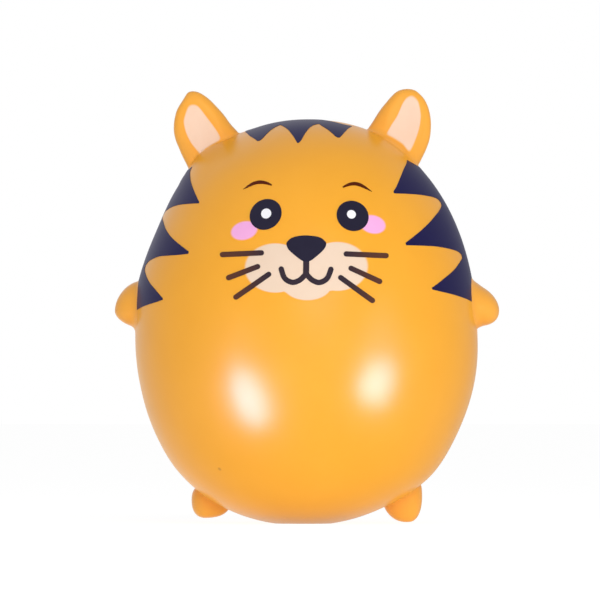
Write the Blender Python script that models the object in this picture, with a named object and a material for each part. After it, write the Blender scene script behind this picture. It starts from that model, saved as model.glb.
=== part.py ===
"""A squishy toy: an egg-shaped foam tiger with ears, arm and foot nubs and a printed face.

Metres, +Z up. The toy stands on z = 0 and faces -Y. Left and right are the toy's own, so left is +X.
"""
import math

import bmesh
import bpy
from mathutils import Matrix, Vector

MM = 0.001

# Egg-shaped body: two half super-ellipses, turned about Z and joined at the widest ring
BODY_WIDTH = 93.8 * MM
CROWN_HEIGHT = 110.9 * MM
EQUATOR_HEIGHT = 50.1 * MM
UPPER_FULLNESS = 2.17
LOWER_FULLNESS = 2.12
BASE_CUT = 0.5 * MM

# Gaps that every pair of neighbours keeps
SEAM_GAP = 0.3 * MM
POCKET_GAP = 0.3 * MM

# Ears: an arched blade on a round root that turns in a pocket in the head
EAR_INSET = {"left": 20.8 * MM, "right": 21.6 * MM}
EAR_SINK = 1.0 * MM
EAR_HEIGHT = 18.4 * MM
EAR_HALF_WIDTH = 8.4 * MM
EAR_HALF_THICKNESS = 3.4 * MM
EAR_ARCH = 3.0
EAR_ROOT_HALF_LENGTH = 10.6 * MM
EAR_ROOT_RADIUS = 3.9 * MM
EAR_ROOT_SHIFT = {"left": 2.4 * MM, "right": 0.0 * MM}
EAR_LEAN = {"left": math.radians(12.0), "right": math.radians(25.0)}

# The blade's outline on its outer and inner side, as (share of the height, share of the half-width), before
# the arch closes it
EAR_OUTER = {
    "left": [(0, 0.80), (0.36, 0.93), (0.67, 0.89), (1, 0.77)],
    "right": [(0, 1.07), (0.49, 1.16), (0.67, 1.07), (0.79, 0.94), (1, 0.60)],
}
EAR_INNER = {
    "left": [(0, 1.38), (0.30, 1.15), (0.49, 1.04), (0.67, 0.96), (1, 0.95)],
    "right": [(0, 1.04), (0.24, 0.88), (0.49, 0.77), (0.67, 0.74), (1, 0.68)],
}

# Arms and feet: round nubs, drawn out along their own axis
ARM_RISE = 10.2 * MM
ARM_SINK = 0.3 * MM
ARM_RADIUS = 6.5 * MM
ARM_HALF_DEPTH = 6.2 * MM
ARM_REACH = 7.2 * MM
ARM_DROOP = math.radians(13.0)
FOOT_INSET = 20.4 * MM
FOOT_SETBACK = 2.0 * MM
FOOT_RADIUS = 5.6 * MM
FOOT_HALF_DEPTH = 5.6 * MM
FOOT_SPLAY = math.radians(12.0)
FOOT_LIFT = 0.5 * MM

# Where the lobes sit: ears and feet in from the body's side, arms above the widest ring
EAR_SPREAD = {side: BODY_WIDTH / 2 - inset for side, inset in EAR_INSET.items()}
FOOT_SPREAD = BODY_WIDTH / 2 - FOOT_INSET
ARM_HEIGHT = EQUATOR_HEIGHT + ARM_RISE

# Printed films: each layer clears the one under it
FILM = 0.3 * MM
FILM_GAP = 0.3 * MM
PRINT_MARGIN = 1.2 * MM

# Face print, as (x, height) on the front of the head, in millimetres
EYE_SPOT = {"left": (12.9, 84.4), "right": (-11.0, 84.9)}
EYE_HALF_SIZE = (4.6, 4.1)
EYE_TILT = {"left": math.radians(-29.0), "right": math.radians(36.0)}
GLINT_SPOT = {"left": (12.5, 84.9), "right": (-11.0, 85.2)}
GLINT_RADIUS = 1.42
CHEEK_SPOT = {"left": (18.4, 82.0), "right": (-17.2, 80.5)}
CHEEK_HALF_SIZE = (3.7, 2.6)
CHEEK_TILT = {"left": math.radians(-12.0), "right": math.radians(20.0)}
BROW_LINE = {
    "left": [(10.2, 92.3), (13.5, 93.5), (18.2, 91.1)],
    "right": [(-17.2, 91.8), (-12.7, 94.0), (-9.4, 92.9)],
}
BROW_HALF_WIDTH = 0.5
MUZZLE_LOBES = [
    ((0.0, 71.8), (6.9, 4.9)),
    ((-8.5, 70.5), (8.05, 6.8)),
    ((8.5, 70.6), (8.25, 6.6)),
    ((0.3, 65.8), (6.45, 4.5)),
]
MUZZLE_CENTRE = (0.1, 69.6)
NOSE_LOOP = [
    (-2.6, 79.0), (2.7, 79.0), (5.4, 77.0), (2.5, 74.0),
    (0.0, 72.3), (-2.4, 74.0), (-5.3, 77.0),
]
NOSE_CENTRE = (0.0, 76.6)
MOUTH_HALF_WIDTH = 0.65
MOUTH_STEM_HALF_WIDTH = 0.75
MOUTH_STEM_TOP = 71.8
MOUTH_LEFT_ARC = [(0.75, 67.8), (1.8, 66.8), (3.7, 66.1), (5.9, 67.2), (6.95, 70.1)]
MOUTH_RIGHT_ARC = [(-0.75, 67.8), (-1.8, 66.8), (-3.75, 66.2), (-5.9, 67.3), (-6.9, 70.2)]
WHISKER_HALF_WIDTH = 0.66
WHISKER_ENDS = {
    "left_upper": ((10.6, 74.0), (22.5, 73.5)),
    "left_middle": ((12.0, 70.2), (20.7, 66.2)),
    "left_lower": ((9.2, 67.7), (18.6, 60.9)),
    "right_upper": ((-11.7, 74.3), (-23.3, 73.8)),
    "right_middle": ((-12.7, 70.7), (-21.7, 67.3)),
    "right_lower": ((-9.9, 68.6), (-19.7, 61.8)),
}

# Flank stripes: the front edge from the ear down to the arm, as degrees round from the front and a share of
# the way up from the widest ring to the crown. It runs out to a tip and back to a notch in turn.
FLANK_EDGE = {
    "left": [(69, 0.812), (41, 0.674), (74, 0.612), (39.5, 0.438), (76.7, 0.382), (49, 0.240), (84, 0.176)],
    "right": [(84, 0.788), (50.9, 0.627), (81, 0.592), (47.7, 0.400), (79, 0.344), (58.4, 0.194), (84, 0.146)],
}

# Crown stripes: the saw-toothed front edge from the toy's right to its left, and the plain back edge, as
# (x, distance forward) in millimetres
CROWN_EDGE = [
    (-16.5, 5.4), (-13.1, 18.2), (-7.2, 9.6), (-2.2, 22.6), (3.4, 10.2), (8.9, 18.4), (12.4, 7.6),
]
CROWN_BACK = [(-16.5, -4.0), (-9.0, -3.2), (-2.0, -2.0), (3.3, 1.0), (7.7, 5.6), (12.4, 6.9)]

# Ear patch, as (outward, up) from the ear's root in the ear's own plane, in millimetres
EAR_PATCH_LOOP = [(0.2, 15.0), (3.8, 12.4), (4.6, 8.6), (3.8, 5.0), (-0.2, 4.8), (-4.0, 5.6), (-2.4, 10.0)]
EAR_PATCH_CENTRE = (0.6, 8.8)

# Fineness of the round shapes
BODY_SEGMENTS = 48
BODY_RINGS = 12
NUB_SEGMENTS = 24
EAR_ROWS = 9
EAR_RING = 20

SIDES = {"left": 1, "right": -1}
COLOURS = {
    "foam": ((0.930, 0.420, 0.060, 1.0), 0.34),
    "cream": ((0.905, 0.740, 0.600, 1.0), 0.42),
    "navy": ((0.024, 0.026, 0.063, 1.0), 0.36),
    "brown": ((0.045, 0.022, 0.020, 1.0), 0.40),
    "pink": ((0.900, 0.450, 0.740, 1.0), 0.45),
    "white": ((0.930, 0.930, 0.930, 1.0), 0.35),
}


def clear_scene():
    for item in list(bpy.data.objects):
        bpy.data.objects.remove(item, do_unlink=True)


def material(name):
    """The named ink or foam as a Principled material, made once."""
    known = bpy.data.materials.get(name)
    if known:
        return known
    colour, roughness = COLOURS[name]
    made = bpy.data.materials.new(name)
    made.use_nodes = True
    shader = made.node_tree.nodes["Principled BSDF"]
    shader.inputs["Base Color"].default_value = colour
    shader.inputs["Roughness"].default_value = roughness
    shader.inputs["Metallic"].default_value = 0.0
    return made


def add_object(name, bm, stuff=None):
    """Turns a bmesh into a named object with outward faces."""
    bmesh.ops.recalc_face_normals(bm, faces=bm.faces)
    mesh = bpy.data.meshes.new(name)
    bm.to_mesh(mesh)
    bm.free()
    made = bpy.data.objects.new(name, mesh)
    bpy.context.scene.collection.objects.link(made)
    if stuff:
        mesh.materials.append(material(stuff))
    return made


def add_boolean(target, cutter, operation="DIFFERENCE"):
    """Joins or cuts with another object, which then stays as a hidden tool."""
    step = target.modifiers.new(cutter.name, "BOOLEAN")
    step.operation = operation
    step.solver = "EXACT"
    step.object = cutter
    cutter.hide_render = True
    cutter.display_type = "WIRE"


def egg_reach(z):
    """Distance from the widest ring to the pole on the side of height z."""
    if z >= EQUATOR_HEIGHT:
        return CROWN_HEIGHT - EQUATOR_HEIGHT
    return EQUATOR_HEIGHT + BASE_CUT


def egg_fullness(upper):
    return UPPER_FULLNESS if upper else LOWER_FULLNESS


def egg_radius(z):
    """Radius of the skin at height z."""
    fullness = egg_fullness(z >= EQUATOR_HEIGHT)
    share = min(abs(z - EQUATOR_HEIGHT) / egg_reach(z), 1.0)
    return BODY_WIDTH / 2 * (1 - share ** fullness) ** (1 / fullness)


def egg_height(radius, upper=True):
    """Height of the skin at a distance from the axis, on the upper or the lower half."""
    fullness = egg_fullness(upper)
    share = min(radius / (BODY_WIDTH / 2), 1.0)
    rise = (1 - share ** fullness) ** (1 / fullness)
    if upper:
        return EQUATOR_HEIGHT + rise * (CROWN_HEIGHT - EQUATOR_HEIGHT)
    return EQUATOR_HEIGHT - rise * (EQUATOR_HEIGHT + BASE_CUT)


def egg_normal(point):
    """Outward unit normal of the skin at a point on it."""
    radius = math.hypot(point.x, point.y)
    half_width = BODY_WIDTH / 2
    reach = egg_reach(point.z)
    level = point.z - EQUATOR_HEIGHT
    power = egg_fullness(level >= 0) - 1
    outward = (radius / half_width) ** power / half_width
    upward = math.copysign((abs(level) / reach) ** power / reach, level)
    if radius < 1e-9:
        return Vector((0, 0, math.copysign(1, level)))
    return Vector((outward * point.x / radius, outward * point.y / radius, upward)).normalized()


def front_point(x, z, lift):
    """The point of the head's front seen at (x, z), raised off the skin by lift."""
    radius = egg_radius(z)
    point = Vector((x, -math.sqrt(max(radius ** 2 - x ** 2, 0.0)), z))
    return point + egg_normal(point) * lift


def flank_point(angle, z, lift):
    """The point at an angle round from the front and a height, raised off the skin by lift."""
    radius = egg_radius(z)
    point = Vector((radius * math.sin(angle), -radius * math.cos(angle), z))
    return point + egg_normal(point) * lift


def crown_point(x, y, lift):
    """The point of the crown above (x, y), raised off the skin by lift."""
    point = Vector((x, y, egg_height(math.hypot(x, y))))
    return point + egg_normal(point) * lift


def turned_solid(name, profile, stuff):
    """A closed solid turned about Z from a profile of (radius, height) that starts and ends on the axis."""
    bm = bmesh.new()
    verts = [bm.verts.new((radius, 0, z)) for radius, z in profile]
    edges = [bm.edges.new(pair) for pair in zip(verts, verts[1:])]
    bmesh.ops.spin(
        bm, geom=verts + edges, cent=(0, 0, 0), axis=(0, 0, 1),
        angle=math.tau, steps=BODY_SEGMENTS, use_merge=True,
    )
    bmesh.ops.remove_doubles(bm, verts=bm.verts, dist=1e-6)
    return add_object(name, bm, stuff)


def egg_arc(low, high):
    """Profile points of the skin between two heights, closer together towards the pole."""
    upper = high > EQUATOR_HEIGHT
    reach = egg_reach(high if upper else low)
    points = []
    for step in range(BODY_RINGS + 1):
        share = math.sin(math.pi / 2 * step / BODY_RINGS) ** (2 / egg_fullness(upper))
        z = EQUATOR_HEIGHT + share * reach if upper else EQUATOR_HEIGHT - share * reach
        points.append(min(max(z, low), high))
    heights = sorted(set(points))
    return [(egg_radius(z), z) for z in heights]


def make_head():
    floor = EQUATOR_HEIGHT + SEAM_GAP
    profile = [(0, floor)] + egg_arc(floor, CROWN_HEIGHT)
    profile[-1] = (0, CROWN_HEIGHT)
    return turned_solid("head", profile, "foam")


def make_belly():
    profile = [(0, 0)] + egg_arc(0, EQUATOR_HEIGHT) + [(0, EQUATOR_HEIGHT)]
    return turned_solid("belly", profile, "foam")


def spheroid(name, half_sizes, stuff=None):
    """An ellipsoid about the origin, with its poles on local X."""
    bm = bmesh.new()
    bmesh.ops.create_uvsphere(bm, u_segments=NUB_SEGMENTS, v_segments=NUB_SEGMENTS // 2, radius=1.0)
    bmesh.ops.rotate(bm, verts=bm.verts, cent=(0, 0, 0), matrix=Matrix.Rotation(math.pi / 2, 3, "Y"))
    bmesh.ops.scale(bm, verts=bm.verts, vec=half_sizes)
    return add_object(name, bm, stuff)


def ear_seat(side):
    """(pivot, slope) of an ear: a point under the skin, and how far the skin slopes down outward there."""
    skin = Vector((SIDES[side] * EAR_SPREAD[side], 0, egg_height(EAR_SPREAD[side])))
    normal = egg_normal(skin)
    slope = math.atan2(abs(normal.x), normal.z)
    return skin - normal * EAR_SINK, slope


def value_at(points, place):
    """The value at a place along points of (place, value), straight between them."""
    for start, end in zip(points, points[1:]):
        if place <= end[0]:
            break
    share = (place - start[0]) / (end[0] - start[0])
    return start[1] + (end[1] - start[1]) * share


def ear_half_width(side, outer, up):
    """The blade's reach from its axis at a height, on its outer or its inner side."""
    share = max(up / EAR_HEIGHT, 0)
    outline = EAR_OUTER[side] if outer else EAR_INNER[side]
    return EAR_HALF_WIDTH * value_at(outline, share) * math.sqrt(max(1 - share ** EAR_ARCH, 0))


def ear_half_thickness(side, outward, up):
    """Half the blade's thickness at a place in the ear's plane."""
    thickness = EAR_HALF_THICKNESS * (1 - max(up / EAR_HEIGHT, 0) ** 4) ** 0.5
    share = min(abs(outward) / ear_half_width(side, outward >= 0, up), 1.0)
    return thickness * math.sqrt(1 - share ** 2)


def ear_blade(side, slope):
    """The arched blade of an ear, from its sloping foot line to its tip, as bridged rings."""
    sign = SIDES[side]
    bm = bmesh.new()
    rings = []
    for row in range(EAR_ROWS):
        share = math.sin(math.pi / 2 * row / (EAR_ROWS - 0.5))
        ring = []
        for step in range(EAR_RING):
            turn = math.tau * step / EAR_RING
            outer = math.cos(turn) >= 0
            # the foot line slopes with the skin, so each ring starts lower on the outer side
            reach = ear_half_width(side, outer, 0) * math.cos(turn)
            foot = -math.tan(slope - EAR_LEAN[side]) * reach * 0.95
            up = foot + share * (EAR_HEIGHT - foot)
            across = ear_half_width(side, outer, up) * math.cos(turn)
            depth = ear_half_thickness(side, 0, up) * math.sin(turn)
            ring.append(bm.verts.new((sign * across, depth, up)))
        rings.append(ring)
    tip = bm.verts.new((0, 0, EAR_HEIGHT))
    for low, high in zip(rings, rings[1:]):
        for step in range(EAR_RING):
            after = (step + 1) % EAR_RING
            bm.faces.new((low[step], low[after], high[after], high[step]))
    for step in range(EAR_RING):
        bm.faces.new((rings[-1][step], rings[-1][(step + 1) % EAR_RING], tip))
    bm.faces.new(rings[0])
    return add_object(f"ear_{side}", bm, "foam")


def ear_root(name, side, margin, stuff=None):
    """A spheroid along the ear's root, grown by a margin."""
    sign = SIDES[side]
    pivot, slope = ear_seat(side)
    inward = Vector((-sign * math.cos(slope), 0, math.sin(slope)))
    radius = EAR_ROOT_RADIUS + margin
    root = spheroid(name, (EAR_ROOT_HALF_LENGTH + margin, radius, radius), stuff)
    root.location = pivot + inward * EAR_ROOT_SHIFT[side]
    root.rotation_euler = (0, sign * slope, 0)
    return root


def make_ear(side, head):
    pivot, slope = ear_seat(side)
    ear = ear_blade(side, slope)
    ear.location = pivot
    ear.rotation_euler = (0, SIDES[side] * EAR_LEAN[side], 0)
    add_boolean(ear, ear_root(f"ear_root_{side}", side, 0, "foam"), "UNION")
    add_boolean(head, ear_root(f"ear_pocket_{side}", side, POCKET_GAP))
    return ear


def nub(name, radius, half_depth, reach):
    """A round nub that points along local -Z: a ball about its pivot, drawn out to its reach."""
    made = spheroid(name, (radius, half_depth, radius), "foam")
    for vert in made.data.vertices:
        if vert.co.z < 0:
            vert.co.z *= reach / radius
    return made


def nub_pocket(name, radius, half_depth):
    return spheroid(name, (radius + POCKET_GAP, half_depth + POCKET_GAP, radius + POCKET_GAP))


def arm_pivot(side):
    skin = Vector((SIDES[side] * egg_radius(ARM_HEIGHT), 0, ARM_HEIGHT))
    return skin - egg_normal(skin) * ARM_SINK


def make_arm(side, head):
    arm = nub(f"arm_{side}", ARM_RADIUS, ARM_HALF_DEPTH, ARM_REACH)
    arm.location = arm_pivot(side)
    arm.rotation_euler = (0, -SIDES[side] * (math.pi / 2 - ARM_DROOP), 0)
    pocket = nub_pocket(f"arm_pocket_{side}", ARM_RADIUS, ARM_HALF_DEPTH)
    pocket.location = arm.location
    add_boolean(head, pocket)
    return arm


def foot_pivot(side):
    height = egg_height(math.hypot(FOOT_SPREAD, FOOT_SETBACK), upper=False)
    return Vector((SIDES[side] * FOOT_SPREAD, FOOT_SETBACK, height))


def make_foot(side, belly):
    pivot = foot_pivot(side)
    foot = nub(f"foot_{side}", FOOT_RADIUS, FOOT_HALF_DEPTH, pivot.z - FOOT_LIFT)
    foot.location = pivot
    foot.rotation_euler = (0, -SIDES[side] * FOOT_SPLAY, 0)
    pocket = nub_pocket(f"foot_pocket_{side}", FOOT_RADIUS, FOOT_HALF_DEPTH)
    pocket.location = pivot
    add_boolean(belly, pocket)
    return foot


def layer_lift(layer):
    """Height of a printed layer's outer face above the skin; layer 0 is printed first."""
    return (layer + 1) * (FILM_GAP + FILM)


def face_away(bm, centre):
    """Turns every face of an open surface away from a centre."""
    for face in bm.faces:
        face.normal_update()
        if face.normal.dot(face.calc_center_median() - centre) < 0:
            face.normal_flip()


def surface_object(name, bm, stuff, centre):
    """A film from an open surface that faces away from a centre."""
    face_away(bm, centre)
    mesh = bpy.data.meshes.new(name)
    bm.to_mesh(mesh)
    bm.free()
    mesh.materials.append(material(stuff))
    made = bpy.data.objects.new(name, mesh)
    bpy.context.scene.collection.objects.link(made)
    thicken = made.modifiers.new("Film", "SOLIDIFY")
    thicken.thickness = FILM
    thicken.offset = -1
    return made


BODY_CENTRE = Vector((0, 0, EQUATOR_HEIGHT))


def disc_film(name, loop, centre, place, stuff, rings=3, look_from=BODY_CENTRE):
    """A film inside a loop that every ray from the centre leaves once. place turns (u, v) in mm into a point."""
    bm = bmesh.new()
    middle = bm.verts.new(place(*centre))
    inner = None
    for ring in range(1, rings + 1):
        share = ring / rings
        outer = []
        for u, v in loop:
            spot = (centre[0] + (u - centre[0]) * share, centre[1] + (v - centre[1]) * share)
            outer.append(bm.verts.new(place(*spot)))
        for step in range(len(outer)):
            after = (step + 1) % len(outer)
            if inner:
                bm.faces.new((inner[step], inner[after], outer[after], outer[step]))
            else:
                bm.faces.new((middle, outer[after], outer[step]))
        inner = outer
    return surface_object(name, bm, stuff, look_from)


def strip_film(name, rows, stuff, look_from=BODY_CENTRE):
    """A film over a grid of points, given row by row."""
    bm = bmesh.new()
    grid = [[bm.verts.new(point) for point in row] for row in rows]
    for low, high in zip(grid, grid[1:]):
        for step in range(len(low) - 1):
            bm.faces.new((low[step], low[step + 1], high[step + 1], high[step]))
    return surface_object(name, bm, stuff, look_from)


def on_front(layer):
    """Places (x, height) in millimetres on the front of the head, at a printed layer."""
    lift = layer_lift(layer)
    return lambda x, z: front_point(x * MM, z * MM, lift)


def ellipse_loop(centre, half_size, tilt=0.0, count=24):
    points = []
    for step in range(count):
        turn = math.tau * step / count
        along = half_size[0] * math.cos(turn)
        across = half_size[1] * math.sin(turn)
        u = centre[0] + along * math.cos(tilt) - across * math.sin(tilt)
        v = centre[1] + along * math.sin(tilt) + across * math.cos(tilt)
        points.append((u, v))
    return points


def spline(before, start, end, after, share):
    """A Catmull-Rom point between start and end."""
    point = []
    for a, b, c, d in zip(before, start, end, after):
        linear = (c - a) * share
        square = (2 * a - 5 * b + 4 * c - d) * share ** 2
        cube = (3 * b - a - 3 * c + d) * share ** 3
        point.append(0.5 * (2 * b + linear + square + cube))
    return tuple(point)


def smooth_loop(points, steps=4):
    """A closed smooth curve through the points."""
    count = len(points)
    made = []
    for index in range(count):
        around = [points[(index + shift) % count] for shift in (-1, 0, 1, 2)]
        made += [spline(*around, step / steps) for step in range(steps)]
    return made


def smooth_line(points, steps=4):
    """An open smooth curve through the points."""
    padded = [points[0]] + list(points) + [points[-1]]
    made = []
    for index in range(len(points) - 1):
        made += [spline(*padded[index:index + 4], step / steps) for step in range(steps)]
    return made + [tuple(points[-1])]


def lobed_loop(lobes, centre, count=48):
    """The outline of joined ellipses, as far as each ray from the centre reaches."""
    points = []
    for step in range(count):
        turn = math.tau * step / count
        way = (math.cos(turn), math.sin(turn))
        reach = 0.0
        for (x, z), (half_x, half_z) in lobes:
            px, pz = (centre[0] - x) / half_x, (centre[1] - z) / half_z
            dx, dz = way[0] / half_x, way[1] / half_z
            a = dx * dx + dz * dz
            b = px * dx + pz * dz
            inside = b * b - a * (px * px + pz * pz - 1)
            if inside > 0:
                reach = max(reach, (-b + math.sqrt(inside)) / a)
        points.append((centre[0] + way[0] * reach, centre[1] + way[1] * reach))
    return points


def ribbon_sides(line, half_widths):
    """Points on both sides of a line, at a half-width for each of its points."""
    left, right = [], []
    for index, (u, v) in enumerate(line):
        ahead = line[min(index + 1, len(line) - 1)]
        behind = line[max(index - 1, 0)]
        du, dv = ahead[0] - behind[0], ahead[1] - behind[1]
        length = math.hypot(du, dv)
        across = (-dv / length, du / length)
        half = half_widths[index]
        left.append((u + across[0] * half, v + across[1] * half))
        right.append((u - across[0] * half, v - across[1] * half))
    return left, right


def round_ended(line, half_width):
    """(line, half-widths) of a stroke with round ends: extra points close to each end narrow it."""
    dense = []
    for start, end in zip(line, line[1:]):
        dense += [start]
    dense.append(line[-1])

    def toward(tip, body):
        length = math.hypot(body[0] - tip[0], body[1] - tip[1])
        share = 0.3 * half_width / length
        return (tip[0] + (body[0] - tip[0]) * share, tip[1] + (body[1] - tip[1]) * share)

    dense.insert(1, toward(dense[0], dense[1]))
    dense.insert(-1, toward(dense[-1], dense[-2]))
    widths = [half_width] * len(dense)
    widths[0] = widths[-1] = 0.35 * half_width
    widths[1] = widths[-2] = 0.8 * half_width
    return dense, widths


def ribbon_film(name, line, half_widths, place, stuff):
    left, right = ribbon_sides(line, half_widths)
    rows = []
    for (u, v), (x, z) in zip(left, right):
        rows.append([place(u, v), place((u + x) / 2, (v + z) / 2), place(x, z)])
    return strip_film(name, rows, stuff)


def make_eyes():
    for side in SIDES:
        spot = EYE_SPOT[side]
        disc_film(f"eye_{side}", ellipse_loop(spot, EYE_HALF_SIZE, EYE_TILT[side]), spot, on_front(1), "navy")
        glint = GLINT_SPOT[side]
        loop = ellipse_loop(glint, (GLINT_RADIUS, GLINT_RADIUS), count=16)
        disc_film(f"eye_glint_{side}", loop, glint, on_front(2), "white", rings=1)


def make_cheeks():
    for side in SIDES:
        spot = CHEEK_SPOT[side]
        loop = ellipse_loop(spot, CHEEK_HALF_SIZE, CHEEK_TILT[side])
        disc_film(f"cheek_{side}", loop, spot, on_front(0), "pink", rings=2)


def make_brows():
    for side in SIDES:
        line = smooth_line(BROW_LINE[side], steps=5)
        last = len(line) - 1
        widths = [BROW_HALF_WIDTH * (0.3 + 0.7 * math.sin(math.pi * i / last)) for i in range(len(line))]
        ribbon_film(f"brow_{side}", line, widths, on_front(0), "brown")


def make_muzzle():
    loop = lobed_loop(MUZZLE_LOBES, MUZZLE_CENTRE)
    disc_film("muzzle_patch", loop, MUZZLE_CENTRE, on_front(0), "cream", rings=4)
    disc_film("nose", smooth_loop(NOSE_LOOP), NOSE_CENTRE, on_front(1), "navy", rings=2)


def make_mouth():
    """Two arcs in one stroke, with the stem drawn up from the flat stretch between them."""
    right = smooth_line(MOUTH_RIGHT_ARC, steps=3)[::-1]
    left = smooth_line(MOUTH_LEFT_ARC, steps=3)
    line, widths = round_ended(right + left, MOUTH_HALF_WIDTH)
    upper, lower = ribbon_sides(line, widths)
    place = on_front(1)
    bm = bmesh.new()
    top = [bm.verts.new(place(*spot)) for spot in upper]
    bottom = [bm.verts.new(place(*spot)) for spot in lower]
    for step in range(len(line) - 1):
        bm.faces.new((top[step], top[step + 1], bottom[step + 1], bottom[step]))
    start = line.index(right[-1])
    below = [top[start], top[start + 1]]
    base = (upper[start][1] + upper[start + 1][1]) / 2
    for share in (0.5, 1.0):
        z = base + (MOUTH_STEM_TOP - base) * share
        above = [bm.verts.new(place(x, z)) for x in (-MOUTH_STEM_HALF_WIDTH, MOUTH_STEM_HALF_WIDTH)]
        bm.faces.new((below[0], below[1], above[1], above[0]))
        below = above
    surface_object("mouth", bm, "brown", BODY_CENTRE)


def make_whiskers():
    for name, (start, end) in WHISKER_ENDS.items():
        steps = 4
        line = []
        for step in range(steps + 1):
            share = step / steps
            line.append((start[0] + (end[0] - start[0]) * share, start[1] + (end[1] - start[1]) * share))
        line, widths = round_ended(line, WHISKER_HALF_WIDTH)
        ribbon_film(f"whisker_{name}", line, widths, on_front(1), "brown")


def saw_edge(corners, steps=4):
    """Points along a row of tips and notches; each edge leaves a notch steeply and runs out to its tip."""
    points = []
    for index, (start, end) in enumerate(zip(corners, corners[1:])):
        to_tip = index % 2 == 0
        for step in range(steps):
            share = step / steps
            bend = share ** 1.5 if to_tip else 1 - (1 - share) ** 1.5
            points.append((start[0] + (end[0] - start[0]) * bend, start[1] + (end[1] - start[1]) * share))
    return points + [corners[-1]]


def print_margins():
    """Hidden solids round the ears' and arms' roots that keep the print clear of them."""
    made = {}
    for side in SIDES:
        around_ear = ear_root(f"ear_margin_{side}", side, PRINT_MARGIN)
        around_arm = nub_pocket(f"arm_margin_{side}", ARM_RADIUS + PRINT_MARGIN, ARM_HALF_DEPTH + PRINT_MARGIN)
        around_arm.location = arm_pivot(side)
        made[side] = (around_ear, around_arm)
    return made


def make_flank_stripes(margins, columns=14):
    lift = layer_lift(0)
    for side, sign in SIDES.items():
        rows = []
        for degrees, share in saw_edge(FLANK_EDGE[side]):
            front = math.radians(degrees)
            z = EQUATOR_HEIGHT + share * (CROWN_HEIGHT - EQUATOR_HEIGHT)
            span = math.pi - 2 * front
            angles = [front + span * step / columns for step in range(columns + 1)]
            rows.append([flank_point(sign * angle, z, lift) for angle in angles])
        stripes = strip_film(f"stripes_{side}", rows, "navy")
        for margin in margins[side]:
            add_boolean(stripes, margin)


def make_crown_stripes(margins, columns=10):
    lift = layer_lift(0)
    rows = []
    for forward, x in saw_edge([(forward, x) for x, forward in CROWN_EDGE]):
        width = forward - value_at(CROWN_BACK, x)
        depths = [forward - width * step / columns for step in range(columns + 1)]
        rows.append([crown_point(x * MM, -depth * MM, lift) for depth in depths])
    stripes = strip_film("stripes_top", rows, "navy")
    for side in SIDES:
        add_boolean(stripes, margins[side][0])


def make_ear_inner(side, ear):
    """The cream patch on the front of an ear."""
    lift = layer_lift(0)

    def place(outward, up):
        across = SIDES[side] * outward * MM
        return Vector((across, -ear_half_thickness(side, outward * MM, up * MM) - lift, up * MM))

    inner = disc_film(
        f"ear_inner_{side}", smooth_loop(EAR_PATCH_LOOP, steps=3), EAR_PATCH_CENTRE, place, "cream",
        look_from=Vector((0, EAR_HEIGHT, EAR_HEIGHT / 2)),
    )
    inner.parent = ear


def main():
    clear_scene()
    head = make_head()
    belly = make_belly()
    for side in SIDES:
        ear = make_ear(side, head)
        make_ear_inner(side, ear)
        make_arm(side, head)
        make_foot(side, belly)
    make_muzzle()
    make_mouth()
    make_cheeks()
    make_eyes()
    make_brows()
    make_whiskers()
    margins = print_margins()
    make_flank_stripes(margins)
    make_crown_stripes(margins)


main()
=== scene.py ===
import math

import bmesh
import bpy
from mathutils import Matrix, Vector


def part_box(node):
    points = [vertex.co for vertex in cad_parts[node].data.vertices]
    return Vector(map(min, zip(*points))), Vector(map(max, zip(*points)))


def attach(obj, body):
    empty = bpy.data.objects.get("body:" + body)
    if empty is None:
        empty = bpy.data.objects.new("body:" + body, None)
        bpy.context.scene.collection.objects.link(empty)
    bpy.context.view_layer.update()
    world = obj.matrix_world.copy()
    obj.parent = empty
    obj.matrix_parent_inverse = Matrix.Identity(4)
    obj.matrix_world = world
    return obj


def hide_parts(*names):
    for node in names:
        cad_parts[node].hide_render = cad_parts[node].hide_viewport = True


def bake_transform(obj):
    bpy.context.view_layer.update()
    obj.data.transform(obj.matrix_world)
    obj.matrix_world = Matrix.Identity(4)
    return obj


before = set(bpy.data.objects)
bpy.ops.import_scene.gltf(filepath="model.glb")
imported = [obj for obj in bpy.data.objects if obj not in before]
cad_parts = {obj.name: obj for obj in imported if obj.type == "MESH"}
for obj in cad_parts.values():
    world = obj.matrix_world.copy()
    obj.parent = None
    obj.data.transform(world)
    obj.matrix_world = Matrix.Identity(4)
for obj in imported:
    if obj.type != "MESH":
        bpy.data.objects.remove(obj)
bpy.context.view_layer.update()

MM = 0.001

# Left and right are the toy's own: its left is at +X
SIDES = {"left": 1, "right": -1}

# The egg's sizes are read from the two solids that it stands for. It is cut flat just above its lower
# pole, and at a fullness above 2 it is fuller than an ellipsoid.
belly_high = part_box("belly")[1]
head_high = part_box("head")[1]
HALF_WIDTH = belly_high.x
EQUATOR = belly_high.z
CROWN = head_high.z
BASE_CUT = 0.5 * MM
UPPER_FULLNESS = 2.17
LOWER_FULLNESS = 2.12

# The poured body is not quite the turned egg. Its sides sit in by an inset about a height, or stand out
# where the inset is below nought, as (side, height, half-height, inset) in millimetres, and the inset
# fades towards the front and back by a power. Its crown and base lean across, as (start, end, shift) by
# height.
SETTLE = [
    (-1, 82.5, 9.5, 0.88), (-1, 63, 7, -0.45), (-1, 36, 10, 0.3), (-1, 13, 7, -0.7),
    (1, 43, 13, -0.33), (1, 12, 8.5, -0.98),
]
SETTLE_FADE = 3
LEAN = [(96, 106, 0.9), (14, 2, -0.9)]

# Foam skin: turned steps and rings, and the rings of its flat base as shares of its radius
SKIN_STEPS = 192
SKIN_RINGS = 64
BASE_RINGS = (0.35, 0.7, 0.93)

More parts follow.
